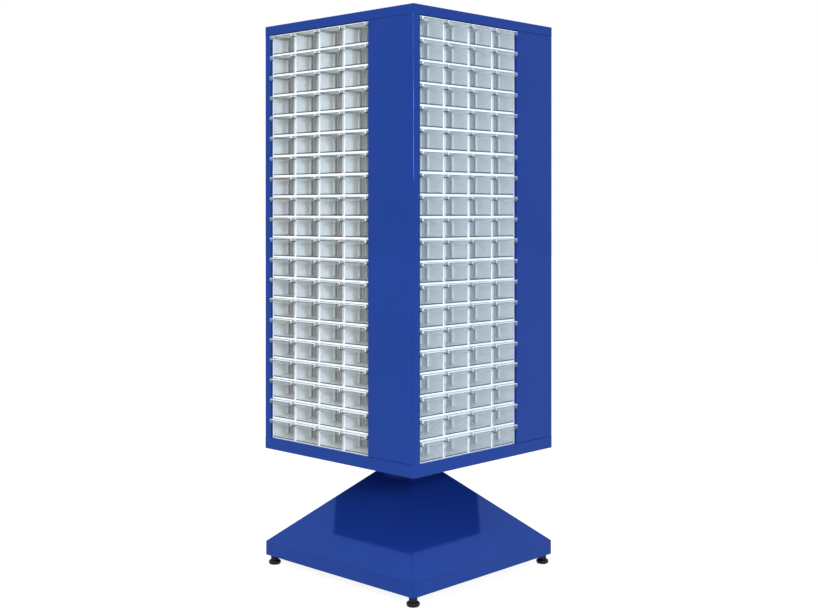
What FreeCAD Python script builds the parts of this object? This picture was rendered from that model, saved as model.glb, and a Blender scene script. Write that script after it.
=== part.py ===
import FreeCAD, Part
import math
import os

# Revolving small-parts cabinet: a square steel carousel with a bank of clear plastic
# drawers on each of its four sides, turning on a post in a pyramid-shaped steel base.
# Millimetres, +Z up, origin on the floor at the centre of the base.
# Bank 1 faces -Y; banks 2 to 4 are the same bank turned 90 degrees at a time about Z.

Vec = FreeCAD.Vector
AXIS = Vec(0, 0, 1)

# ---- drawers and their moulded housings ----
rows = 20
columns = 4
working_row = 10            # row, counted from the bottom, whose drawers slide
bay_width = 96.4
bay_height = 54.15
bay_depth = 155.5
bar_width = 5.0             # white bar between two bays, both ways
housing_back = 2.5
drawer_wall = 1.6
drawer_proud = 1.0          # drawer front ahead of the housing's front edge
drawer_side_gap = 0.6
drawer_foot_gap = 0.3
drawer_head_gap = 1.0
drawer_back_gap = 5.5       # behind the drawer, to the housing's back wall
drawer_side_drop = 4.0      # side walls end this far below the top of the front
drawer_travel = 120.0
runner_width = 3.0
runner_height = 2.5
lip_height = 12.0
lip_reach = 13.5
catch_width = 30.0          # raised tab on the drawer's back and the stop it meets
stop_height = 3.0
stop_width = 2.0
stop_play = 0.3

# ---- carousel sheet metal ----
cabinet_sheet = 1.2
front_recess = 7.0          # housing front behind the blue face
strip_width = 25.0          # narrow side of each corner panel
housing_side_gap = 0.5
bank_gap = 3.9              # between one bank's end and the next bank's back
bottom_band = 34.0
top_band = 26.5
top_slot = 1.5              # shadow gap over the top row
band_return = 15.0
panel_return = 22.0
panel_bend = 2.0
seam_gap = 1.0
seam_end = 10.0             # seam stops this far short of the corner
bearer_width = 40.0
bearer_sheet = 2.0

# ---- base ----
foot_height = 28.0
flange_height = 38.0
hood_height = 211.0
hood_top_side = 130.0
hood_sheet = 2.0
hood_corner = 6.0
frame_tube = 30.0
frame_wall = 2.0
foot_plate_leg = 100.0
foot_plate_thickness = 6.0
gusset_reach = 120.0
gusset_height = 140.0
gusset_thickness = 5.0

# ---- levelling feet ----
foot_inset = 20.0
foot_pad_radius = 18.0
foot_pad_height = 14.0
foot_edge = 4.0
foot_neck_radius = 11.5
foot_neck_gap = 2.0
foot_stud_radius = 5.0
foot_stud_rise = 34.0
foot_nut_flats = 17.0
foot_nut_height = 8.0
thread_gap = 0.1
small_round = 12            # sides that stand for a small round, such as a stud or its hole

# ---- turning gear ----
post_radius = 25.0
post_wall = 5.0
spigot_radius = 12.0
spigot_length = 30.0
pedestal_side = 126.0
pedestal_thickness = 8.0
sleeve_flange_radius = 40.0
sleeve_flange = 4.0
hub_radius = 38.0
hub_wall = 3.0
hub_neck = 53.0             # from the sleeve's flange up to the carousel's floor
hub_rise = 260.0            # tube above the carousel's floor
hub_flange_side = 180.0
hub_flange_thickness = 6.0
keeper_side = 80.0
keeper_thickness = 6.0
keeper_gap = 0.4
nut_flats = 36.0
nut_height = 19.0
running_gap = 0.08
weld_gap = 0.1
bearing_gap = 0.1

same_place = 0.000001       # two points this close are one

# ---- worked out from the sizes above ----
column_pitch = bay_width + bar_width
row_pitch = bay_height + bar_width
housing_width = columns * column_pitch
housing_depth = bay_depth + housing_back
drawer_width = bay_width - 2 * drawer_side_gap
drawer_length = drawer_proud + bay_depth - drawer_back_gap
drawer_top = bay_height - drawer_head_gap
drawer_floor = drawer_foot_gap + runner_height

face = (strip_width + housing_side_gap + housing_width + bank_gap + housing_depth + front_recess) / 2
housing_front = -face + front_recess
housing_rear = housing_front + housing_depth
drawer_front = housing_front - drawer_proud
housing_left = -face + strip_width + housing_side_gap
housing_right = housing_left + housing_width

flange_top = foot_height + flange_height
hood_top = flange_top + hood_height
pedestal_top = hood_top + pedestal_thickness
hub_bottom = pedestal_top + sleeve_flange
carousel_bottom = hub_bottom + hub_neck
tray_floor = carousel_bottom + cabinet_sheet
bank_bottom = carousel_bottom + bottom_band
bank_top = bank_bottom + rows * row_pitch
cover_rim = bank_top + top_slot
carousel_top = cover_rim + top_band
hub_top = carousel_bottom + hub_rise
plate_top = foot_height + foot_plate_thickness
frame_top = plate_top + frame_tube
foot_axis = face - foot_inset


def box(x0, x1, y0, y1, z0, z1):
    return Part.makeBox(x1 - x0, y1 - y0, z1 - z0, Vec(x0, y0, z0))


def flat_face(corners):
    return Part.Face(Part.makePolygon(corners + corners[:1]))


def plan(points, z0, z1):
    """Upright prism over a polygon of (x, y) points."""
    return flat_face([Vec(x, y, z0) for x, y in points]).extrude(Vec(0, 0, z1 - z0))


def taper(low_points, high_points, z0, z1):
    """Flat-sided solid from one polygon of (x, y) points up to a similar one."""
    low = [Vec(x, y, z0) for x, y in low_points]
    high = [Vec(x, y, z1) for x, y in high_points]
    faces = [flat_face(low), flat_face(high)]
    for step in range(len(low)):
        faces.append(flat_face([low[step - 1], low[step], high[step], high[step - 1]]))
    return Part.Solid(Part.Shell(faces))


def across(points, x0, x1):
    """Prism along X with a section of (y, z) points."""
    return flat_face([Vec(x0, y, z) for y, z in points]).extrude(Vec(x1 - x0, 0, 0))


def turned(points):
    """Body turned about the cabinet's axis from a section of (radius, z) points."""
    return flat_face([Vec(r, 0, z) for r, z in points]).revolve(Vec(0, 0, 0), AXIS, 360)


def ring(inner, outer, z0, z1):
    return turned([(inner, z0), (outer, z0), (outer, z1), (inner, z1)])


def polygon(sides, corner, x=0.0, y=0.0):
    """Corners of a regular polygon round a point."""
    turns = [2 * math.pi * step / sides for step in range(sides)]
    return [(x + corner * math.cos(turn), y + corner * math.sin(turn)) for turn in turns]


def hexagon(flats, z0, z1, x=0.0, y=0.0):
    return plan(polygon(6, flats / math.sqrt(3), x, y), z0, z1)


def small_rod(radius, z0, z1, x=0.0, y=0.0):
    return plan(polygon(small_round, radius, x, y), z0, z1)


def small_taper(low_radius, high_radius, z0, z1, x=0.0, y=0.0):
    return taper(polygon(small_round, low_radius, x, y), polygon(small_round, high_radius, x, y), z0, z1)


def side_turned(shape, side):
    """Copy of a shape of bank 1 on another side of the cabinet."""
    copy = shape.copy()
    copy.rotate(Vec(0, 0, 0), AXIS, 90 * side)
    return copy


def save(node, solids):
    shape = solids[0] if len(solids) == 1 else Part.makeCompound(solids)
    shape.exportStep("parts/" + node + ".step")


def save_sides(name, shape):
    for side in range(4):
        save(name + "_" + str(side + 1), [side_turned(shape, side)])


# ---- places in bank 1 ----
def bay_centre(column):
    return housing_left + (column + 0.5) * column_pitch


def bay_floor(row):
    return bank_bottom + row * row_pitch + bar_width / 2


def bay_space(column, row):
    middle = bay_centre(column)
    floor = bay_floor(row)
    return box(middle - bay_width / 2, middle + bay_width / 2,
               housing_front, housing_front + bay_depth, floor, floor + bay_height)


def housing_block(first_row, end_row):
    return box(housing_left, housing_right, housing_front, housing_rear,
               bank_bottom + first_row * row_pitch, bank_bottom + end_row * row_pitch)


def closed_rows(first_row, end_row):
    """Housings of the rows that stay shut, in one piece with the fronts and lips of their drawers."""
    fronts = []
    for row in range(first_row, end_row):
        for column in range(columns):
            left = bay_centre(column) - drawer_width / 2
            bottom = bay_floor(row) + drawer_foot_gap
            top = bay_floor(row) + drawer_top
            lip_front = drawer_front - lip_reach
            section = [(housing_front, bottom), (drawer_front, bottom), (drawer_front, top - lip_height),
                       (lip_front, top - lip_height), (lip_front, top), (housing_front, top)]
            fronts.append(across(section, left, left + drawer_width))
    return housing_block(first_row, end_row).fuse(fronts).removeSplitter()


def sliding_drawer(column, row):
    """Whole drawer: open tray on two runners, hooded lip and a raised catch at the back."""
    middle = bay_centre(column)
    left = middle - drawer_width / 2
    right = middle + drawer_width / 2
    front = drawer_front
    back = front + drawer_length
    floor = bay_floor(row)
    under = floor + drawer_floor
    side_top = floor + drawer_top - drawer_side_drop
    top = floor + drawer_top
    lip_under = top - lip_height

    tray = box(left, right, front, back, under, side_top)
    runners = [box(left, left + runner_width, front, back, floor + drawer_foot_gap, under),
               box(right - runner_width, right, front, back, floor + drawer_foot_gap, under)]
    brow = box(left, right, front - lip_reach, front + drawer_wall, lip_under, top)
    catch = box(middle - catch_width / 2, middle + catch_width / 2, back - drawer_wall, back, side_top, top)
    solid = tray.fuse(runners + [brow, catch])

    inside = box(left + drawer_wall, right - drawer_wall, front + drawer_wall, back - drawer_wall,
                 under + drawer_wall, top)
    grip = box(left + drawer_wall, right - drawer_wall, front - lip_reach + drawer_wall, front,
               lip_under, top - drawer_wall)
    return solid.cut([inside, grip]).removeSplitter()


def bay_housing(column, row):
    """Moulded housing of one sliding drawer, with a stop under its roof for the drawer's catch."""
    middle = bay_centre(column)
    foot = bank_bottom + row * row_pitch
    roof = bay_floor(row) + bay_height
    stop_back = drawer_front + drawer_length - drawer_wall - drawer_travel - stop_play
    block = box(middle - column_pitch / 2, middle + column_pitch / 2,
                housing_front, housing_rear, foot, foot + row_pitch)
    stop = box(middle - catch_width / 2, middle + catch_width / 2,
               stop_back - stop_width, stop_back, roof - stop_height, roof)
    return block.cut(bay_space(column, row)).fuse(stop).removeSplitter()


# ---- carousel sheet metal ----
def pan(low, high, floor_low):
    """Square pan of folded sheet with a turned-in rim, its floor at the low or the high end."""
    skin = cabinet_sheet
    rim = face - band_return
    inner_low = low + skin
    inner_high = high - skin
    outer = box(-face, face, -face, face, low, high)
    hollow = box(-face + skin, face - skin, -face + skin, face - skin, inner_low, inner_high)
    if floor_low:
        mouth = box(-rim, rim, -rim, rim, inner_high, high)
    else:
        mouth = box(-rim, rim, -rim, rim, low, inner_low)
    return outer.cut([hollow, mouth])


def corner_panel():
    """Wide blank panel of one side and narrow strip of the next, folded from one sheet."""
    skin = cabinet_sheet
    free_edge = housing_right + housing_side_gap
    strip_edge = -face + strip_width
    section = [(free_edge, -face), (face, -face), (face, strip_edge),
               (face - panel_return, strip_edge), (face - panel_return, strip_edge - skin),
               (face - skin, strip_edge - skin), (face - skin, -face + skin),
               (free_edge + skin, -face + skin), (free_edge + skin, -face + panel_return),
               (free_edge, -face + panel_return)]
    solid = plan(section, bank_bottom, cover_rim)
    fold = [edge for edge in solid.Edges if is_upright_at(edge, face, -face)]
    solid = solid.makeFillet(panel_bend, fold)
    slit_low = box(free_edge, face - seam_end, -face, -face + skin, bank_bottom, bank_bottom + seam_gap)
    slit_high = box(free_edge, face - seam_end, -face, -face + skin, cover_rim - seam_gap, cover_rim)
    return solid.cut([slit_low, slit_high])


def is_upright_at(edge, x, y):
    ends = [vertex.Point for vertex in edge.Vertexes]
    return all(abs(end.x - x) < same_place and abs(end.y - y) < same_place for end in ends)


def bearer():
    """Channel on the carousel's floor that carries the rear of a bank."""
    skin = bearer_sheet
    front = housing_rear - bearer_width
    section = [(front, tray_floor), (front, bank_bottom), (housing_rear, bank_bottom),
               (housing_rear, tray_floor), (housing_rear - skin, tray_floor),
               (housing_rear - skin, bank_bottom - skin), (front + skin, bank_bottom - skin),
               (front + skin, tray_floor)]
    return across(section, housing_left, housing_right)


def centre_column():
    """Square sheet column behind the four banks, from the carousel's floor to its roof."""
    half = -housing_rear
    core = half - cabinet_sheet
    outer = box(-half, half, -half, half, tray_floor, carousel_top - cabinet_sheet)
    return outer.cut(box(-core, core, -core, core, tray_floor, carousel_top - cabinet_sheet))


# ---- base ----
def rounded_square(half, radius, z):
    """Square wire with rounded corners, four straights and four arcs."""
    straight = half - radius
    bulge = straight + radius / math.sqrt(2)
    edges = []
    for side in range(4):
        start = Vec(-straight, -half, z)
        end = Vec(straight, -half, z)
        peak = Vec(bulge, -bulge, z)
        after = Vec(half, -straight, z)
        for edge in (Part.makeLine(start, end), Part.Arc(end, peak, after).toShape()):
            edge.rotate(Vec(0, 0, 0), AXIS, 90 * side)
            edges.append(edge)
    return Part.Wire(edges)


def pyramid(half, top_half, z0, z1):
    """Upright square frustum."""
    square = ((-1, -1), (1, -1), (1, 1), (-1, 1))
    return taper([(x * half, y * half) for x, y in square],
                 [(x * top_half, y * top_half) for x, y in square], z0, z1)


def hood():
    """Folded pyramid of sheet with an upright flange, open underneath and square at the top."""
    top_half = hood_top_side / 2
    slope = hood_height / (face - top_half)
    drop = hood_sheet * math.sqrt(1 + slope * slope)
    inner_half = face - hood_sheet
    inner_rise = flange_top + slope * hood_sheet - drop
    over = hood_top + hood_sheet
    inner_top_half = face - (over - flange_top + drop) / slope

    outer = box(-face, face, -face, face, foot_height, flange_top).fuse(
        pyramid(face, top_half, flange_top, hood_top)).removeSplitter()
    rounding = Part.Face(rounded_square(face, hood_corner, foot_height)).extrude(Vec(0, 0, hood_top))
    well = Part.Face(rounded_square(inner_half, hood_corner - hood_sheet, foot_height))
    well = well.extrude(Vec(0, 0, inner_rise - foot_height))
    vault = pyramid(inner_half, inner_top_half, inner_rise, over)
    return outer.common(rounding).cut([well, vault])


def diagonal_bar(length, width, z0, z1):
    bar = box(-length / 2, length / 2, -width / 2, width / 2, z0, z1)
    bar.rotate(Vec(0, 0, 0), AXIS, 45)
    return bar


def cross_frame():
    """Two square tubes crossing under the post, welded where they meet."""
    length = 2 * (foot_axis * math.sqrt(2) - foot_nut_flats)
    core = frame_tube - 2 * frame_wall
    low = plate_top + frame_wall
    high = frame_top - frame_wall
    tube = diagonal_bar(length, frame_tube, plate_top, frame_top)
    bore = diagonal_bar(length, core, low, high)
    return tube.fuse(side_turned(tube, 1)).cut(bore.fuse(side_turned(bore, 1)))


def foot_plate():
    """Corner plate inside the flange, drilled for the foot's stud."""
    inner = face - hood_sheet
    start = inner - foot_plate_leg
    blunt = inner - (hood_corner - hood_sheet)
    solid = plan([(start, inner), (blunt, inner), (inner, blunt), (inner, start)], foot_height, plate_top)
    return solid.cut(small_rod(foot_stud_radius + thread_gap, foot_height, plate_top, foot_axis, foot_axis))


def foot_nut():
    top = plate_top + foot_nut_height
    nut = hexagon(foot_nut_flats, plate_top, top, foot_axis, foot_axis)
    return nut.cut(small_rod(foot_stud_radius + thread_gap, plate_top, top, foot_axis, foot_axis))


def levelling_foot():
    """Moulded pad with a neck, on a threaded stud."""
    at = (foot_axis, foot_axis)
    neck_top = foot_height - foot_neck_gap
    rim_top = foot_pad_height - foot_edge
    parts = [small_taper(foot_pad_radius - foot_edge / 2, foot_pad_radius, 0, foot_edge, *at),
             small_rod(foot_pad_radius, foot_edge, rim_top, *at),
             small_taper(foot_pad_radius, foot_neck_radius, rim_top, foot_pad_height, *at),
             small_rod(foot_neck_radius, foot_pad_height, neck_top, *at),
             small_rod(foot_stud_radius, neck_top, neck_top + foot_stud_rise, *at)]
    return parts[0].fuse(parts[1:])


def gusset():
    """Triangular rib between the post and one arm of the cross frame."""
    start = post_radius + weld_gap
    rib = across([(start, frame_top), (start + gusset_reach, frame_top), (start, frame_top + gusset_height)],
                 -gusset_thickness / 2, gusset_thickness / 2)
    rib.rotate(Vec(0, 0, 0), AXIS, 45)
    return rib


# ---- turning gear ----
def pivot_post():
    """Tube welded on the cross frame, with its pedestal plate and a plugged, threaded head."""
    bore = post_radius - post_wall
    head = hub_top + keeper_gap
    plug = head - post_wall
    half = pedestal_side / 2
    post = turned([(bore, frame_top), (post_radius, frame_top), (post_radius, head),
                   (spigot_radius, head), (spigot_radius, head + spigot_length),
                   (0, head + spigot_length), (0, plug), (bore, plug)])
    plate = box(-half, half, -half, half, hood_top, pedestal_top)
    return post.fuse(plate.cut(Part.makeCylinder(post_radius, pedestal_thickness, Vec(0, 0, hood_top))))


def hub():
    """Tube that turns round the post, with the square flange that carries the carousel."""
    half = hub_flange_side / 2
    tube = ring(hub_radius - hub_wall, hub_radius, hub_bottom, hub_top)
    flange = box(-half, half, -half, half, carousel_bottom - hub_flange_thickness, carousel_bottom)
    return tube.fuse(flange.cut(Part.makeCylinder(hub_radius, hub_flange_thickness,
                                                  Vec(0, 0, carousel_bottom - hub_flange_thickness))))


def bearing_sleeve():
    """Plastic liner pressed into the hub; its flange takes the carousel's weight on the pedestal."""
    bore = post_radius + running_gap
    outer = hub_radius - hub_wall
    start = pedestal_top + bearing_gap
    return turned([(bore, start), (sleeve_flange_radius, start), (sleeve_flange_radius, hub_bottom),
                   (outer, hub_bottom), (outer, hub_top), (bore, hub_top)])


def bottom_tray():
    tray = pan(carousel_bottom, bank_bottom, True)
    return tray.cut(Part.makeCylinder(hub_radius + weld_gap, cabinet_sheet, Vec(0, 0, carousel_bottom)))


def keeper():
    """Square keeper plate over the hub, in one piece with the nut that holds it."""
    base = hub_top + keeper_gap
    half = keeper_side / 2
    nut_top = base + keeper_thickness + nut_height
    plate = box(-half, half, -half, half, base, base + keeper_thickness)
    nut = hexagon(nut_flats, base + keeper_thickness, nut_top)
    bore = Part.makeCylinder(spigot_radius + thread_gap, nut_top - base, Vec(0, 0, base))
    return plate.fuse(nut).cut(bore)


os.makedirs("parts", exist_ok=True)

# Base
save("base_hood", [hood()])
save("base_cross_frame", [cross_frame()])
save("post_gussets", [side_turned(gusset(), side) for side in range(4)])
save("foot_plates", [side_turned(foot_plate(), side) for side in range(4)])
save("foot_nuts", [side_turned(foot_nut(), side) for side in range(4)])
save_sides("levelling_foot", levelling_foot())
save("pivot_post", [pivot_post()])
save("keeper_nut", [keeper()])

# Carousel frame
save("hub", [hub()])
save("bearing_sleeve", [bearing_sleeve()])
save("bottom_tray", [bottom_tray()])
save("top_cover", [pan(cover_rim, carousel_top, False)])
save("centre_column", [centre_column()])
save("bank_bearers", [side_turned(bearer(), side) for side in range(4)])
save_sides("corner_panel", corner_panel())

# Drawer banks
save_sides("drawer_rack", Part.makeCompound([closed_rows(0, working_row - 1), closed_rows(working_row, rows)]))
for side in range(4):
    for column in range(columns):
        place = str(side + 1) + "_" + str(column + 1)
        save("bay_housing_" + place, [side_turned(bay_housing(column, working_row - 1), side)])
        save("drawer_" + place, [side_turned(sliding_drawer(column, working_row - 1), side)])
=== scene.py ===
import math

import bmesh
import bpy
import numpy as np
from mathutils import Matrix, Vector


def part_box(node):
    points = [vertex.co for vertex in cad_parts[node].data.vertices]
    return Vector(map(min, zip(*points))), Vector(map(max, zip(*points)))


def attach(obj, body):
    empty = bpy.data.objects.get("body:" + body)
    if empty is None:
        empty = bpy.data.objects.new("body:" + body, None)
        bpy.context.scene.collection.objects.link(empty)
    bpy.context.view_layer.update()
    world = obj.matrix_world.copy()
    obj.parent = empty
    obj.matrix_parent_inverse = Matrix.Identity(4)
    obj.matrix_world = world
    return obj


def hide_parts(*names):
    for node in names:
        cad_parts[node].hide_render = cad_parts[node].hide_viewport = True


# Revolving small-parts cabinet. The sections follow the order in which it is put together,
# from the feet up to the roof. Metres, +Z up, origin on the floor under the turning axis.
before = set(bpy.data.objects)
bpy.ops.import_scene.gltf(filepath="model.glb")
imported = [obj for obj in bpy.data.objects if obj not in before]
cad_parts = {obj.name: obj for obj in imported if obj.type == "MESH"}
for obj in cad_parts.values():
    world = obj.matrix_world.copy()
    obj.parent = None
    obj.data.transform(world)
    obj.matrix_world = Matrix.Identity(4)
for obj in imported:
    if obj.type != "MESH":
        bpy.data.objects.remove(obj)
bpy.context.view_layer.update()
mm = 0.001


# ---- levelling feet ----
# Black nylon pad and neck, moulded in one round a zinc-plated M10 stud. The stud screws through
# the base's corner plate and is locked by a nut, so each foot is set for height by itself.
neck = 11.5 * mm
moulding_top = 26 * mm
stud = 5 * mm
stud_foot = 26.1 * mm
thread_pitch = 1.5 * mm
thread_root = stud - 0.8 * mm
thread_crest = stud - 0.02 * mm


def colour(text):
    """Linear RGBA of an sRGB hex colour."""
    parts = [int(text[place:place + 2], 16) / 255 for place in (1, 3, 5)]
    return [v / 12.92 if v <= 0.04045 else ((v + 0.055) / 1.055) ** 2.4 for v in parts] + [1.0]


def add(tree, kind, settings=None, links=None):
    """Adds a shader node; settings name its options or sockets, links give sockets their source."""
    node = tree.nodes.new(kind)
    for name, value in (settings or {}).items():
        if name in node.inputs:
            node.inputs[name].default_value = value
        else:
            setattr(node, name, value)
    for name, source in (links or {}).items():
        tree.links.new(source, node.inputs[name])
    return node


def new_material(name, settings):
    """Named material with a principled shader; returns it with its tree and that shader."""
    made = bpy.data.materials.new(name)
    made.use_nodes = True
    shader = made.node_tree.nodes["Principled BSDF"]
    for socket, value in settings.items():
        shader.inputs[socket].default_value = value
    return made, made.node_tree, shader


def piece(name, mesh, finishes, smooth=30):
    """Object from a mesh in its materials, smooth but for edges sharper than so many degrees."""
    made = bpy.data.objects.new(name, mesh)
    bpy.context.scene.collection.objects.link(made)
    for finish in finishes:
        mesh.materials.append(finish)
    mesh.shade_smooth()
    mesh.set_sharp_from_angle(angle=math.radians(smooth))
    return made


def lathe(profile, segments):
    """Mesh turned about Z from (radius, height) points; a radius of 0 closes an end."""
    verts, faces, starts = [], [], []
    for radius, height in profile:
        starts.append(len(verts))
        for step in range(1 if radius == 0 else segments):
            turn = 2 * math.pi * step / segments
            verts.append((radius * math.cos(turn), radius * math.sin(turn), height))
    for ring in range(len(profile) - 1):
        a, b = starts[ring], starts[ring + 1]
        for step in range(segments):
            after = (step + 1) % segments
            if profile[ring][0] == 0:
                faces.append((a, b + after, b + step))
            elif profile[ring + 1][0] == 0:
                faces.append((a + step, a + after, b))
            else:
                faces.append((a + step, a + after, b + after, b + step))
    mesh = bpy.data.meshes.new("turned")
    mesh.from_pydata(verts, [], faces)
    return mesh


# Nylon as moulded is deep black with a low sheen. Its grain is drawn 0.8 mm wide, coarser than
# the real one, so that it shows.
nylon, tree, shader = new_material("moulded black nylon", {
    "Base Color": colour("#0C0D0E"), "Roughness": 0.42, "IOR": 1.53,
    "Specular Tint": colour("#9A9A9A")})
place = add(tree, "ShaderNodeTexCoord").outputs["Object"]
grain = add(tree, "ShaderNodeTexNoise", {"Scale": 1 / (0.8 * mm), "Detail": 3.0}, {"Vector": place})
dull = add(tree, "ShaderNodeMapRange", {"To Min": 0.36, "To Max": 0.52},
           {"Value": grain.outputs["Fac"]})
tree.links.new(dull.outputs["Result"], shader.inputs["Roughness"])
relief = add(tree, "ShaderNodeBump", {"Strength": 0.25, "Distance": 0.1 * mm},
             {"Height": grain.outputs["Fac"]})
tree.links.new(relief.outputs["Normal"], shader.inputs["Normal"])

# Zinc plating gives pale grey metal, clouded from bluish to yellowish in patches of 14 mm.
zinc, tree, shader = new_material("zinc-plated steel", {
    "Base Color": colour("#B4B8BA"), "Metallic": 1.0, "Roughness": 0.34})
place = add(tree, "ShaderNodeTexCoord").outputs["Object"]
cloud = add(tree, "ShaderNodeTexNoise", {"Scale": 1 / (14 * mm), "Detail": 5.0}, {"Vector": place})
tint = add(tree, "ShaderNodeMix",
           {"data_type": "RGBA", "A": colour("#A9AFB4"), "B": colour("#C2C1B8")},
           {"Factor": cloud.outputs["Fac"]})
tree.links.new(tint.outputs["Result"], shader.inputs["Base Color"])
dull = add(tree, "ShaderNodeMapRange", {"To Min": 0.26, "To Max": 0.44},
           {"Value": cloud.outputs["Fac"]})
tree.links.new(dull.outputs["Result"], shader.inputs["Roughness"])

for number in range(1, 5):
    node = "levelling_foot_%d" % number
    low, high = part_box(node)
    middle = (low + high) / 2
    pad = (high.x - low.x) / 2
    # from the middle of the pad's underside, out round its rim and up the neck
    profile = [(0, 0), (pad - 4.2 * mm, 0), (pad - 2.2 * mm, 0.7 * mm), (pad - 0.8 * mm, 2.4 * mm),
               (pad - 0.1 * mm, 4.6 * mm), (pad, 7 * mm), (pad - 0.2 * mm, 8.8 * mm),
               (pad - 1.1 * mm, 10.6 * mm), (pad - 2.6 * mm, 12 * mm), (pad - 4.6 * mm, 12.9 * mm),
               (neck + 1.2 * mm, 13.4 * mm), (neck + 0.3 * mm, 13.9 * mm), (neck, 14.8 * mm),
               (neck, 25.2 * mm), (neck - 0.8 * mm, moulding_top),
               (stud + 0.4 * mm, moulding_top), (0, moulding_top)]
    foot = piece("foot_pad_%d" % number, lathe(profile, 64), [nylon], 50)
    foot.location = (middle.x, middle.y, 0)
    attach(foot, node)
    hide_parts(node)

    stud_top = high.z - 0.05 * mm
    threads = [(0, stud_foot)]
    height = stud_foot
    while height + thread_pitch < high.z - 0.6 * mm:
        threads += [(thread_root, height), (thread_crest, height + thread_pitch / 2)]
        height += thread_pitch
    threads += [(thread_root, height), (stud - 1.2 * mm, stud_top), (0, stud_top)]
    screw = piece("foot_stud_%d" % number, lathe(threads, 32), [zinc], 20)
    screw.location = (middle.x, middle.y, 0)
    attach(screw, node)
    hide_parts(node)


# ---- base frame, hidden in the hood ----
# Square tube cross, corner plates and ribs of mild steel, welded and painted satin black;
# the tubes carry the post's load out to the feet. The stud nuts are zinc plated.
def dress(node, finish):
    """Gives a CAD node its material."""
    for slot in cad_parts[node].material_slots:
        slot.material = finish


# Brushed-on satin paint is an even near-black whose gloss wavers over about 1.5 mm.
black, tree, shader = new_material("satin black paint on steel", {
    "Base Color": colour("#1B1C1E"), "Roughness": 0.45})
place = add(tree, "ShaderNodeTexCoord").outputs["Object"]
grain = add(tree, "ShaderNodeTexNoise", {"Scale": 1 / (1.5 * mm), "Detail": 4.0}, {"Vector": place})
dull = add(tree, "ShaderNodeMapRange", {"To Min": 0.38, "To Max": 0.55},
           {"Value": grain.outputs["Fac"]})
tree.links.new(dull.outputs["Result"], shader.inputs["Roughness"])
relief = add(tree, "ShaderNodeBump", {"Strength": 0.2, "Distance": 0.1 * mm},
             {"Height": grain.outputs["Fac"]})
tree.links.new(relief.outputs["Normal"], shader.inputs["Normal"])
for node in ("base_cross_frame", "post_gussets", "foot_plates"):
    dress(node, black)
dress("foot_nuts", zinc)


# ---- base hood ----
# Pyramid with an upright flange, folded and welded from 2 mm steel sheet, ground flush at the
# edges and powder coated a deep gloss blue. It drops over the frame and hides it.
fold_round = 1.2 * mm
corner_round = 7 * mm
crease_width = 1.6 * mm
touch = 0.01 * mm


def same(one, other):
    """True where two measures differ by less than counts."""
    return abs(one - other) < touch


def mesh_of(shape, name):
    """Mesh of a bmesh, which is freed."""
    mesh = bpy.data.meshes.new(name)
    shape.to_mesh(mesh)
    shape.free()
    return mesh


def sheet_shape(node):
    """Sheet node's own shape as a bmesh with its flat faces whole, and its sharp edges."""
    shape = bmesh.new()
    shape.from_mesh(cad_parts[node].data)
    bmesh.ops.remove_doubles(shape, verts=shape.verts, dist=0.002 * mm)
    bmesh.ops.dissolve_limit(shape, angle_limit=math.radians(1), verts=shape.verts,
                             edges=shape.edges)
    sharp = [edge for edge in shape.edges
             if len(edge.link_faces) == 2 and edge.calc_face_angle(0) > math.radians(8)]
    return shape, sharp


def rounded(shape, edges, radius, segments):
    """Rounds the given edges."""
    bmesh.ops.bevel(shape, geom=edges, offset=radius, segments=segments, profile=0.5,
                    affect="EDGES", clamp_overlap=True)


def coated(name, shape, node, body, finishes):
    """Sheet piece of a bmesh, riding its body in place of the node."""
    made = piece(name, mesh_of(shape, name), finishes, 5)
    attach(made, body)
    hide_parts(node)


def pan(name, node, body):
    """Folded pan with its outer folds and edges rounded."""
    low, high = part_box(node)
    shape, sharp = sheet_shape(node)

    def on_edge(point):
        return sum(same(point[i], low[i]) or same(point[i], high[i]) for i in range(3)) >= 2

    outer = [edge for edge in sharp if all(on_edge(vert.co) for vert in edge.verts)]
    rounded(shape, outer, fold_round, 4)
    coated(name, shape, node, body, [blue])


def is_hood_corner(edge):
    """True for an edge that runs up one of the hood's four outer corners."""
    a, b = [vert.co for vert in edge.verts]
    diagonal = same(abs(a.x), abs(a.y)) and same(abs(b.x), abs(b.y))
    one_corner = a.x * b.x > 0 and a.y * b.y > 0
    return edge.is_convex and diagonal and one_corner and abs(a.z - b.z) > 5 * mm


# Gloss powder coat is a deep even blue with a clear azure sheen and a faint orange peel. The
# peel is drawn 2.5 mm wide; film thickness drifts over 180 mm and changes tone and gloss.
blue, tree, shader = new_material("gloss blue powder coat", {
    "Base Color": colour("#1B3887"), "Metallic": 0.35, "Roughness": 0.085,
    "Specular Tint": colour("#5AA8FF")})
place = add(tree, "ShaderNodeTexCoord").outputs["Object"]
drift = add(tree, "ShaderNodeTexNoise", {"Scale": 1 / (180 * mm), "Detail": 2.0}, {"Vector": place})
tint = add(tree, "ShaderNodeMix",
           {"data_type": "RGBA", "A": colour("#1A3684"), "B": colour("#1C3A8B")},
           {"Factor": drift.outputs["Fac"]})
tree.links.new(tint.outputs["Result"], shader.inputs["Base Color"])
peel = add(tree, "ShaderNodeTexNoise", {"Scale": 1 / (2.5 * mm), "Detail": 1.0}, {"Vector": place})
relief = add(tree, "ShaderNodeBump", {"Strength": 0.12, "Distance": 0.05 * mm},
             {"Height": peel.outputs["Fac"]})
tree.links.new(relief.outputs["Normal"], shader.inputs["Normal"])
dull = add(tree, "ShaderNodeMapRange", {"To Min": 0.07, "To Max": 0.1},
           {"Value": drift.outputs["Fac"]})
tree.links.new(dull.outputs["Result"], shader.inputs["Roughness"])

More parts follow.
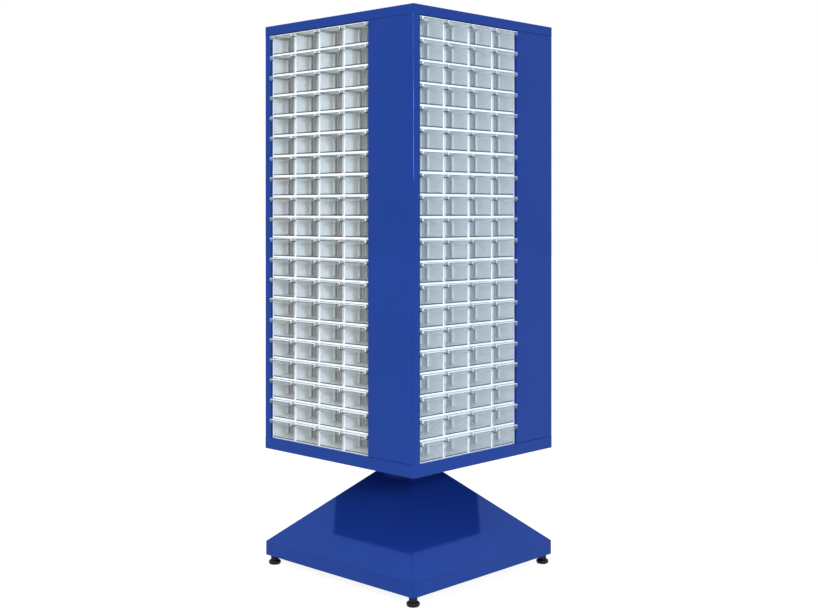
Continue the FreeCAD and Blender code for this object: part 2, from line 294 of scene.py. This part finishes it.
# The same coat in the crease under the fold of the flange, duller, and painted dark as shade.
crease, tree, shader = new_material("gloss blue powder coat, shaded crease", {
    "Base Color": colour("#0B1C58"), "Roughness": 0.3, "Specular Tint": colour("#5AA8FF")})
place = add(tree, "ShaderNodeTexCoord").outputs["Object"]
peel = add(tree, "ShaderNodeTexNoise", {"Scale": 1 / (2.5 * mm), "Detail": 1.0}, {"Vector": place})
dull = add(tree, "ShaderNodeMapRange", {"To Min": 0.24, "To Max": 0.36},
           {"Value": peel.outputs["Fac"]})
tree.links.new(dull.outputs["Result"], shader.inputs["Roughness"])

hood_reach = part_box("base_hood")[1].x
shape, sharp = sheet_shape("base_hood")
rounded(shape, [edge for edge in sharp if is_hood_corner(edge)], corner_round, 5)
flange_top = max(vert.co.z for vert in shape.verts
                 if max(abs(vert.co.x), abs(vert.co.y)) > hood_reach - touch)
crease_foot = flange_top - crease_width
bmesh.ops.bisect_plane(shape, geom=[*shape.verts, *shape.edges, *shape.faces],
                       plane_co=(0, 0, crease_foot), plane_no=(0, 0, 1))
# faces in the crease take the coat painted dark as the crease's shade
for face in shape.faces:
    middle = face.calc_center_median()
    outward = face.normal.x * middle.x + face.normal.y * middle.y > 0.2
    if outward and abs(face.normal.z) < 0.1 and crease_foot < middle.z < flange_top:
        face.material_index = 1
coated("hood_shell", shape, "base_hood", "base", [blue, crease])


# ---- post, hub and bearing ----
# The zinc-plated post stands on the cross frame and through the hood's pedestal plate. The hub
# tube turns round it on a white acetal sleeve, kept down by a square plate and nut.

# Machined acetal is off-white and satin, with rings left by the tool; they are drawn in bands
# of 6 mm, coarser than the real ones, so that they show.
acetal, tree, shader = new_material("machined white acetal", {
    "Base Color": colour("#E6E6DF"), "Roughness": 0.38, "IOR": 1.48})
place = add(tree, "ShaderNodeTexCoord").outputs["Object"]
rings = add(tree, "ShaderNodeTexWave", {"Scale": 1 / (6 * mm), "bands_direction": "Z"},
            {"Vector": place})
relief = add(tree, "ShaderNodeBump", {"Strength": 0.15, "Distance": 0.05 * mm},
             {"Height": rings.outputs["Fac"]})
tree.links.new(relief.outputs["Normal"], shader.inputs["Normal"])
for node in ("pivot_post", "hub", "keeper_nut"):
    dress(node, zinc)
dress("bearing_sleeve", acetal)


# ---- carousel floor, column and bearers ----
# The floor is a shallow blue pan that the hub's flange carries. On it stand the square column
# and the four channel bearers under the banks, bent from galvanised sheet.

# Hot-dip galvanising freezes in spangles about 12 mm across, each with its own grey and gloss.
galvanised, tree, shader = new_material("galvanised steel sheet", {
    "Base Color": colour("#A4A9AC"), "Metallic": 1.0, "Roughness": 0.4})
place = add(tree, "ShaderNodeTexCoord").outputs["Object"]
spangle = add(tree, "ShaderNodeTexVoronoi", {"Scale": 1 / (12 * mm)}, {"Vector": place})
grey = add(tree, "ShaderNodeSeparateColor", {}, {"Color": spangle.outputs["Color"]})
tint = add(tree, "ShaderNodeMix",
           {"data_type": "RGBA", "A": colour("#979DA1"), "B": colour("#B5B9BB")},
           {"Factor": grey.outputs["Red"]})
tree.links.new(tint.outputs["Result"], shader.inputs["Base Color"])
dull = add(tree, "ShaderNodeMapRange", {"To Min": 0.3, "To Max": 0.5},
           {"Value": grey.outputs["Green"]})
tree.links.new(dull.outputs["Result"], shader.inputs["Roughness"])
for node in ("centre_column", "bank_bearers"):
    dress(node, galvanised)
pan("carousel_floor_pan", "bottom_tray", "carousel")


# ---- drawer housings ----
# Open-fronted boxes moulded in white polystyrene, one for each drawer, pushed together four
# wide and twenty high on each side. Two walls make a 5 mm bar, its front edges eased. Under
# each roof is the stop that the drawer's catch meets.
columns = 4
rows = 20
first_low, first_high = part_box("bay_housing_1_1")
column_pitch = first_high.x - first_low.x
row_pitch = first_high.z - first_low.z
working_row = round((first_low.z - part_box("drawer_rack_1")[0].z) / row_pitch)
bay_wall = 2.5 * mm
bay_depth = 155.5 * mm
seam = 0.06 * mm
outer_ease = 0.35 * mm
inner_ease = 0.8 * mm
stop_from, stop_to = 26.1 * mm, 28.1 * mm
stop_half = 15 * mm
stop_drop = 3 * mm
# from this depth in, the walls are painted light grey as shade, the left wall's band dark
shade_from_depth = 55 * mm
shade_depth = 66 * mm
brow = 7 * mm

# Moulded polystyrene is near-white and glossy; the melt's flow wavers its gloss over 40 mm.
white, tree, shader = new_material("moulded white polystyrene", {
    "Base Color": colour("#F8F9F9"), "Roughness": 0.28, "IOR": 1.59})
place = add(tree, "ShaderNodeTexCoord").outputs["Object"]
flow = add(tree, "ShaderNodeTexNoise", {"Scale": 1 / (40 * mm), "Detail": 3.0}, {"Vector": place})
tint = add(tree, "ShaderNodeMix",
           {"data_type": "RGBA", "A": colour("#F7F8F9"), "B": colour("#FAFAFA")},
           {"Factor": flow.outputs["Fac"]})
tree.links.new(tint.outputs["Result"], shader.inputs["Base Color"])
dull = add(tree, "ShaderNodeMapRange", {"To Min": 0.22, "To Max": 0.34},
           {"Value": flow.outputs["Fac"]})
tree.links.new(dull.outputs["Result"], shader.inputs["Roughness"])

# Deeper in, the core of the mould is left matt and fine-grained; its light grey is painted
# shade for the dim back of the bay. The grain is drawn 0.6 mm wide, coarser than the real one.
rear, tree, shader = new_material("white polystyrene, rear in painted shade", {
    "Base Color": colour("#D6D8D6"), "Roughness": 0.5, "IOR": 1.59})
place = add(tree, "ShaderNodeTexCoord").outputs["Object"]
flow = add(tree, "ShaderNodeTexNoise", {"Scale": 1 / (30 * mm), "Detail": 3.0}, {"Vector": place})
tint = add(tree, "ShaderNodeMix",
           {"data_type": "RGBA", "A": colour("#D2D4D2"), "B": colour("#DADCDA")},
           {"Factor": flow.outputs["Fac"]})
tree.links.new(tint.outputs["Result"], shader.inputs["Base Color"])
grain = add(tree, "ShaderNodeTexNoise", {"Scale": 1 / (0.6 * mm), "Detail": 2.0}, {"Vector": place})
relief = add(tree, "ShaderNodeBump", {"Strength": 0.2, "Distance": 0.05 * mm},
             {"Height": grain.outputs["Fac"]})
tree.links.new(relief.outputs["Normal"], shader.inputs["Normal"])

# Where the left wall lies in the shade of the drawer's ribs and of the roof it is warm and dark.
shade, tree, shader = new_material("white polystyrene, shaded by the ribs", {
    "Base Color": colour("#423D36"), "Roughness": 0.5, "IOR": 1.59})
place = add(tree, "ShaderNodeTexCoord").outputs["Object"]
flow = add(tree, "ShaderNodeTexNoise", {"Scale": 1 / (30 * mm), "Detail": 3.0}, {"Vector": place})
tint = add(tree, "ShaderNodeMix",
           {"data_type": "RGBA", "A": colour("#3C3730"), "B": colour("#48433C")},
           {"Factor": flow.outputs["Fac"]})
tree.links.new(tint.outputs["Result"], shader.inputs["Base Color"])


def loop(verts, x0, x1, z0, z1, y):
    """Four corners of an upright rectangle."""
    start = len(verts)
    verts.extend([(x0, y, z0), (x1, y, z0), (x1, y, z1), (x0, y, z1)])
    return [start, start + 1, start + 2, start + 3]


def skin(faces, *loops):
    """Joins rectangles one after another and closes both ends."""
    for near, far in zip(loops, loops[1:]):
        for step in range(4):
            faces.append((near[step - 1], near[step], far[step], far[step - 1]))
    faces.append(tuple(loops[0]))
    faces.append(tuple(loops[-1]))


def with_edges(faces):
    """The faces with their edges and points, each once."""
    return list(dict.fromkeys(item for face in faces for item in (face, *face.edges, *face.verts)))


def body_of(mesh, zones):
    """Points and faces of a mesh and the number of each face's finish.

    Points are rounded to a ten-thousandth of a millimetre, and all are put in order of place,
    because exact cuts give them in another order, and as good as the same, on each run.
    """
    verts = np.array([vert.co for vert in mesh.vertices]).round(7)
    order = np.lexsort(verts.T)
    new_number = np.argsort(order)
    faces = []
    for face, zone in zip(mesh.polygons, zones):
        corners = [int(new_number[corner]) for corner in face.vertices]
        first = corners.index(min(corners))
        faces.append((corners[first:] + corners[:first], zone))
    faces.sort()
    return verts[order], [corners for corners, _ in faces], [zone for _, zone in faces]


def housing():
    """First housing of the sliding row; its finishes are 0 white, 1 rear and 2 shade."""
    verts, faces = [], []
    front = first_low.y
    x0, x1 = first_low.x + seam, first_high.x - seam
    z0, z1 = first_low.z + seam, first_high.z - seam
    u0, u1 = first_low.x + bay_wall, first_high.x - bay_wall
    w0, w1 = first_low.z + bay_wall, first_high.z - bay_wall
    ease, wide, slim = outer_ease, inner_ease, 0.25 * inner_ease
    skin(faces,
         loop(verts, x0, x1, z0, z1, first_high.y),
         loop(verts, x0, x1, z0, z1, front + ease),
         loop(verts, x0 + ease, x1 - ease, z0 + ease, z1 - ease, front),
         loop(verts, u0 - wide, u1 + wide, w0 - wide, w1 + wide, front),
         loop(verts, u0 - slim, u1 + slim, w0 - slim, w1 + slim, front + slim),
         loop(verts, u0, u1, w0, w1, front + wide),
         loop(verts, u0, u1, w0, w1, front + shade_from_depth),
         loop(verts, u0, u1, w0, w1, front + shade_depth),
         loop(verts, u0, u1, w0, w1, front + bay_depth))
    middle = (first_low.x + first_high.x) / 2
    s0, s1 = middle - stop_half, middle + stop_half
    skin(faces,
         loop(verts, s0, s1, w1 - stop_drop, w1, front + stop_from),
         loop(verts, s0, s1, w1 - stop_drop, w1, front + stop_to))
    mesh = bpy.data.meshes.new("one housing")
    mesh.from_pydata(verts, [], faces)
    shape = bmesh.new()
    shape.from_mesh(mesh)

    def on_left_wall(face):
        return all(abs(vert.co.x - u0) < seam / 2 for vert in face.verts)

    bmesh.ops.bisect_plane(shape, geom=with_edges([f for f in shape.faces if on_left_wall(f)]),
                           plane_co=(0, 0, w1 - brow), plane_no=(0, 0, 1))
    # deeper walls take the light grey painted shade; the left wall's band behind the ribs and its
    # strip under the roof take the dark painted shade
    zones = []
    for face in shape.faces:
        depths = [vert.co.y - front for vert in face.verts]
        near, far = min(depths), max(depths)
        inside = near > wide - seam and far < bay_depth + seam
        deep = near > shade_from_depth - seam
        band = deep and far < shade_depth + seam
        strip = far < shade_from_depth + seam and min(v.co.z for v in face.verts) > w1 - brow - seam
        shaded = inside and on_left_wall(face) and (band or strip)
        zones.append(2 if shaded else int(inside and deep))
    return body_of(mesh_of(shape, "one housing"), zones)


def repeated(verts, faces, places):
    """Points and faces of the same body at several (column, row) places of bank 1."""
    all_verts, all_faces = [], []
    for column, row in places:
        start = len(all_verts)
        shift = np.array([column * column_pitch, 0, (row - working_row) * row_pitch])
        all_verts.extend((verts + shift).tolist())
        all_faces.extend([[start + corner for corner in face] for face in faces])
    return all_verts, all_faces


def bank_piece(name, body, places, side, finishes, rides_on, node):
    """Mouldings at some places of one side's bank, as one piece in place of a node."""
    verts, faces, zones = body
    all_verts, all_faces = repeated(verts, faces, places)
    mesh = bpy.data.meshes.new(name)
    mesh.from_pydata(all_verts, [], all_faces)
    mesh.transform(Matrix.Rotation(math.radians(90) * side, 4, "Z"))
    shape = bmesh.new()
    shape.from_mesh(mesh)
    bmesh.ops.recalc_face_normals(shape, faces=shape.faces)
    shape.to_mesh(mesh)
    shape.free()
    made = piece(name, mesh, finishes)
    mesh.polygons.foreach_set("material_index", zones * len(places))
    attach(made, rides_on)
    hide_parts(node)


closed = [(column, row) for row in range(rows) for column in range(columns) if row != working_row]
one_housing = housing()
for side in range(4):
    number = side + 1
    bank_piece("housings_%d" % number, one_housing, closed, side, [white, rear, shade],
               "carousel", "drawer_rack_%d" % number)
    for column in range(columns):
        name = "%d_%d" % (number, column + 1)
        bank_piece("housing_" + name, one_housing, [(column, working_row)], side,
                   [white, rear, shade], "carousel", "bay_housing_" + name)


# ---- drawers ----
# Trays moulded in clear polystyrene with 1.6 mm walls: hooded lip to pull by, two runners under
# the floor, three pairs of ribs on each side that hold dividers, and a catch at the back.
drawer_low, drawer_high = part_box("drawer_1_1")
wall = 1.6 * mm
lip_reach = 13.5 * mm
lip_height = 12 * mm
lip_corner, lip_side, lip_brow = 5 * mm, 2.4 * mm, 1.4 * mm
side_drop = 4 * mm
catch_half = 15 * mm
runner_width, runner_height = 3 * mm, 2.5 * mm
apron_lift = 0.2 * mm
rib_depths = (53 * mm, 80 * mm, 107 * mm)
rib_half_gap = 1.6 * mm
rib_half = 0.6 * mm
rib_reach = 4 * mm
rib_drop = 1 * mm
front_face = drawer_low.y + lip_reach
floor_edge = drawer_low.z + 3.2 * mm
front_margin = 2 * mm
narrow_edge = 4.8 * mm
close = 0.1 * mm

# Clear polystyrene lets nearly all light through face on and whitens a little edge on. Its
# polish wavers over 25 mm with the flow of the melt.
clear, tree, shader = new_material("clear polystyrene", {
    "Base Color": colour("#D8DFDD"), "Roughness": 0.06, "IOR": 1.59})
edge_on = add(tree, "ShaderNodeLayerWeight", {"Blend": 0.37})
cover = add(tree, "ShaderNodeMapRange", {"To Min": 0.0, "To Max": 0.2},
            {"Value": edge_on.outputs["Fresnel"]})
tree.links.new(cover.outputs["Result"], shader.inputs["Alpha"])
place = add(tree, "ShaderNodeTexCoord").outputs["Object"]
flow = add(tree, "ShaderNodeTexNoise", {"Scale": 1 / (25 * mm), "Detail": 2.0}, {"Vector": place})
dull = add(tree, "ShaderNodeMapRange", {"To Min": 0.05, "To Max": 0.08},
           {"Value": flow.outputs["Fac"]})
tree.links.new(dull.outputs["Result"], shader.inputs["Roughness"])

# Thin edges and the lip's top gather the light in the walls and glow white; their grain is
# drawn 1.2 mm wide.
rim, tree, shader = new_material("clear polystyrene, lit edges", {
    "Base Color": colour("#F6F9FB"), "Roughness": 0.2, "IOR": 1.59, "Alpha": 0.88})
place = add(tree, "ShaderNodeTexCoord").outputs["Object"]
grain = add(tree, "ShaderNodeTexNoise", {"Scale": 1 / (1.2 * mm), "Detail": 2.0}, {"Vector": place})
dull = add(tree, "ShaderNodeMapRange", {"To Min": 0.16, "To Max": 0.26},
           {"Value": grain.outputs["Fac"]})
tree.links.new(dull.outputs["Result"], shader.inputs["Roughness"])

# Edges that face down, and the front's strip over the floor's edge, are painted dark: painted
# shade for the shaded gaps under the lip and under the drawer.
shaded_edge, tree, shader = new_material("clear polystyrene, edge in painted shade", {
    "Base Color": colour("#2C3650"), "Roughness": 0.1, "IOR": 1.59, "Alpha": 0.8})
place = add(tree, "ShaderNodeTexCoord").outputs["Object"]
flow = add(tree, "ShaderNodeTexNoise", {"Scale": 1 / (25 * mm), "Detail": 2.0}, {"Vector": place})
dull = add(tree, "ShaderNodeMapRange", {"To Min": 0.08, "To Max": 0.14},
           {"Value": flow.outputs["Fac"]})
tree.links.new(dull.outputs["Result"], shader.inputs["Roughness"])


def block(shape, x0, x1, y0, y1, z0, z1):
    """Adds a closed box to a bmesh."""
    made = bmesh.ops.create_cube(shape, size=1)["verts"]
    bmesh.ops.scale(shape, vec=(x1 - x0, y1 - y0, z1 - z0), verts=made)
    bmesh.ops.translate(shape, vec=((x0 + x1) / 2, (y0 + y1) / 2, (z0 + z1) / 2), verts=made)


def former(shape):
    """Passing object of a bmesh, to be joined or cut away."""
    made = bpy.data.objects.new("former", mesh_of(shape, "former"))
    bpy.context.scene.collection.objects.link(made)
    return made


def solid(*boxes):
    """Passing object of some boxes."""
    shape = bmesh.new()
    for sides in boxes:
        block(shape, *sides)
    return former(shape)


def combined(base, steps):
    """Mesh of a passing object after exact unions and cuts; all passing objects go."""
    for way, other in steps:
        change = base.modifiers.new(way, "BOOLEAN")
        change.operation = way
        change.solver = "EXACT"
        change.use_self = True
        change.object = other
    view = bpy.context.evaluated_depsgraph_get()
    view.update()
    mesh = bpy.data.meshes.new_from_object(base.evaluated_get(view))
    for made in [base] + [other for _, other in steps]:
        bpy.data.objects.remove(made)
    return mesh


def hooded_lip(left, right, near, far, low, top):
    """Block of the lip with rounded lower corners, front corners and brow."""
    def is_low(a, b):
        return same(a.z, low) and same(b.z, low) and same(a.x, b.x)

    def is_front(a, b):
        return same(a.y, near) and same(b.y, near) and same(a.x, b.x) and abs(a.z - b.z) > 5 * mm

    def is_brow(a, b):
        return same(a.z, top) and same(b.z, top) and same(a.y, b.y) and same(a.y, near)

    shape = bmesh.new()
    block(shape, left, right, near, far, low, top)
    for radius, chosen in ((lip_corner, is_low), (lip_side, is_front), (lip_brow, is_brow)):
        edges = [edge for edge in shape.edges if chosen(*[vert.co for vert in edge.verts])]
        bmesh.ops.bevel(shape, geom=edges, offset=radius, segments=3, profile=0.5, affect="EDGES")
    return former(shape)


def drawer_mesh():
    """First drawer of bank 1, in its own place."""
    left, right, back = drawer_low.x, drawer_high.x, drawer_high.y
    foot, top = drawer_low.z, drawer_high.z
    front, lip_front = front_face, front_face - lip_reach
    under = foot + runner_height
    in_floor = under + wall / 2
    side_top = top - side_drop
    lip_under = top - lip_height
    middle = (left + right) / 2
    tray = solid((left, right, front, back, under, side_top))
    below = solid((left, left + runner_width, front, back, foot, in_floor),
                  (right - runner_width, right, front, back, foot, in_floor),
                  (left, right, front, front + wall, foot + apron_lift, in_floor))
    catch = solid((middle - catch_half, middle + catch_half, back - wall, back,
                   side_top - wall, top))
    inside = solid((left + wall, right - wall, front + wall, back - wall, under + wall, top + wall))
    grip = solid((left + wall, right - wall, lip_front + wall, front, lip_under - wall, top - wall))
    ribs = []
    for depth in rib_depths:
        for shift in (-rib_half_gap, rib_half_gap):
            centre = front + depth + shift
            for x0, x1 in ((left + wall / 2, left + wall + rib_reach),
                           (right - wall - rib_reach, right - wall / 2)):
                ribs.append((x0, x1, centre - rib_half, centre + rib_half,
                             in_floor, side_top - rib_drop))
    lip = hooded_lip(left, right, lip_front, front + wall, lip_under, top)
    return combined(tray, [("UNION", below), ("UNION", lip), ("UNION", catch),
                           ("DIFFERENCE", inside), ("DIFFERENCE", grip), ("UNION", solid(*ribs))])


def drawer():
    """One drawer; its finishes are 0 clear, 1 rim and 2 edge in painted shade."""
    shape = bmesh.new()
    shape.from_mesh(drawer_mesh())
    bmesh.ops.remove_doubles(shape, verts=shape.verts, dist=touch)
    bmesh.ops.dissolve_limit(shape, angle_limit=math.radians(1), verts=shape.verts,
                             edges=shape.edges)

    def plate(least):
        """Faces of the front plate from a least size up."""
        return [face for face in shape.faces
                if face.normal.y < -0.9 and abs(face.calc_center_median().y - front_face) < close
                and face.calc_area() > least]

    # the plate is parted near its sides and over its floor edge, so each part has one finish
    parted = plate(20 * mm * mm)
    for point, across in (((drawer_low.x + front_margin, 0, 0), (1, 0, 0)),
                          ((drawer_high.x - front_margin, 0, 0), (1, 0, 0)),
                          ((0, 0, floor_edge), (0, 0, 1))):
        bmesh.ops.bisect_plane(shape, geom=with_edges(parted), plane_co=point, plane_no=across)
        parted = plate(0)
    bmesh.ops.recalc_face_normals(shape, faces=shape.faces)

    zones = []
    lip_under = drawer_high.z - lip_height
    for face in shape.faces:
        corners = np.array([vert.co for vert in face.verts])
        low, high = corners.min(axis=0), corners.max(axis=0)
        # downward lip edges and the front's floor strip are painted dark as shade
        hem = (face.normal.z < -0.2 and high[1] < front_face + close
               and low[2] < lip_under + lip_corner)
        on_front = high[1] - low[1] < close and abs(corners[0, 1] - front_face) < close
        floor_line = on_front and high[2] < floor_edge + close and high[0] - low[0] > 50 * mm
        thin = sorted(high - low)[1] < narrow_edge
        lip_top = low[2] > drawer_high.z - touch and low[1] < front_face
        zones.append(2 if hem or floor_line else int(thin or lip_top))
    return body_of(mesh_of(shape, "one drawer"), zones)


one_drawer = drawer()
for side in range(4):
    number = side + 1
    bank_piece("closed_drawers_%d" % number, one_drawer, closed, side, [clear, rim, shaded_edge],
               "carousel", "drawer_rack_%d" % number)
    for column in range(columns):
        name = "%d_%d" % (number, column + 1)
        bank_piece("tray_" + name, one_drawer, [(column, working_row)], side,
                   [clear, rim, shaded_edge], "drawer_" + name, "drawer_" + name)


# ---- corner panels and roof ----
# Each corner panel is one sheet folded into the wide blank side of one face and the narrow strip
# of the next. The roof is a pan like the floor's, turned over. All powder coated gloss blue.
for number in range(1, 5):
    dress("corner_panel_%d" % number, blue)
pan("roof_pan", "top_cover", "carousel")


# ---- floor, light and camera ----
# White studio sweep in an even, slightly blue surround. A soft lamp on the right lights the
# right side, a larger and warmer one the left. The camera stands at chest height, held level.
def seen_directly(tree):
    """1 for camera, glossy and transmission rays, which see the studio white, and 0 for light."""
    path = add(tree, "ShaderNodeLightPath")
    seen = path.outputs["Is Camera Ray"]
    for ray in ("Is Glossy Ray", "Is Transmission Ray"):
        either = add(tree, "ShaderNodeMath", {"operation": "MAXIMUM"})
        tree.links.new(seen, either.inputs[0])
        tree.links.new(path.outputs[ray], either.inputs[1])
        seen = either.outputs[0]
    return seen


def lamp(name, stand, size, watts, tone):
    """Square soft box aimed at the middle of the cabinet."""
    light = bpy.data.lights.new(name, "AREA")
    light.size = size
    light.energy = watts
    light.color = colour(tone)[:3]
    made = bpy.data.objects.new(name, light)
    bpy.context.scene.collection.objects.link(made)
    made.location = stand
    aim = Vector((0, 0, 0.85)) - Vector(stand)
    made.rotation_euler = aim.to_track_quat("-Z", "Y").to_euler()


# Matt paper, grey enough to throw little light up, shines white of itself to what sees it.
paper, tree, shader = new_material("white studio floor", {
    "Base Color": colour("#787878"), "Roughness": 0.9})
glow = add(tree, "ShaderNodeEmission", {"Color": colour("#FFFFFF"), "Strength": 0.9})
both = add(tree, "ShaderNodeAddShader")
tree.links.new(shader.outputs["BSDF"], both.inputs[0])
tree.links.new(glow.outputs["Emission"], both.inputs[1])
chosen = add(tree, "ShaderNodeMixShader", {}, {"Fac": seen_directly(tree)})
tree.links.new(shader.outputs["BSDF"], chosen.inputs[1])
tree.links.new(both.outputs["Shader"], chosen.inputs[2])
tree.links.new(chosen.outputs["Shader"], tree.nodes["Material Output"].inputs["Surface"])
shape = bmesh.new()
bmesh.ops.create_grid(shape, x_segments=8, y_segments=8, size=20)
piece("floor", mesh_of(shape, "floor"), [paper])

world = bpy.data.worlds.new("white studio")
bpy.context.scene.world = world
world.use_nodes = True
tree = world.node_tree
surround = tree.nodes["Background"]
surround.inputs["Strength"].default_value = 1.0
tone = add(tree, "ShaderNodeMix",
           {"data_type": "RGBA", "A": colour("#E6F0FC"), "B": colour("#FFFFFF")},
           {"Factor": seen_directly(tree)})
tree.links.new(tone.outputs["Result"], surround.inputs["Color"])

lamp("key lamp", (3.35, -1.6, 1.5), 0.5, 82, "#DCEEFF")
lamp("fill lamp", (0.3, -3.9, 2.3), 1.2, 66, "#FFFBF0")

camera = bpy.data.objects.new("camera", bpy.data.cameras.new("camera"))
bpy.context.scene.collection.objects.link(camera)
camera.location = (2.493, -2.644, 1.040)
camera.rotation_euler = (math.radians(90), 0, math.radians(44.487))
camera.data.lens = 54.0
camera.data.sensor_width = 36
camera.data.shift_x = 0.0310
camera.data.shift_y = -0.1125
bpy.context.scene.camera = camera
bpy.context.scene.view_settings.view_transform = "Standard"
bpy.context.scene.cycles.transparent_max_bounces = 24
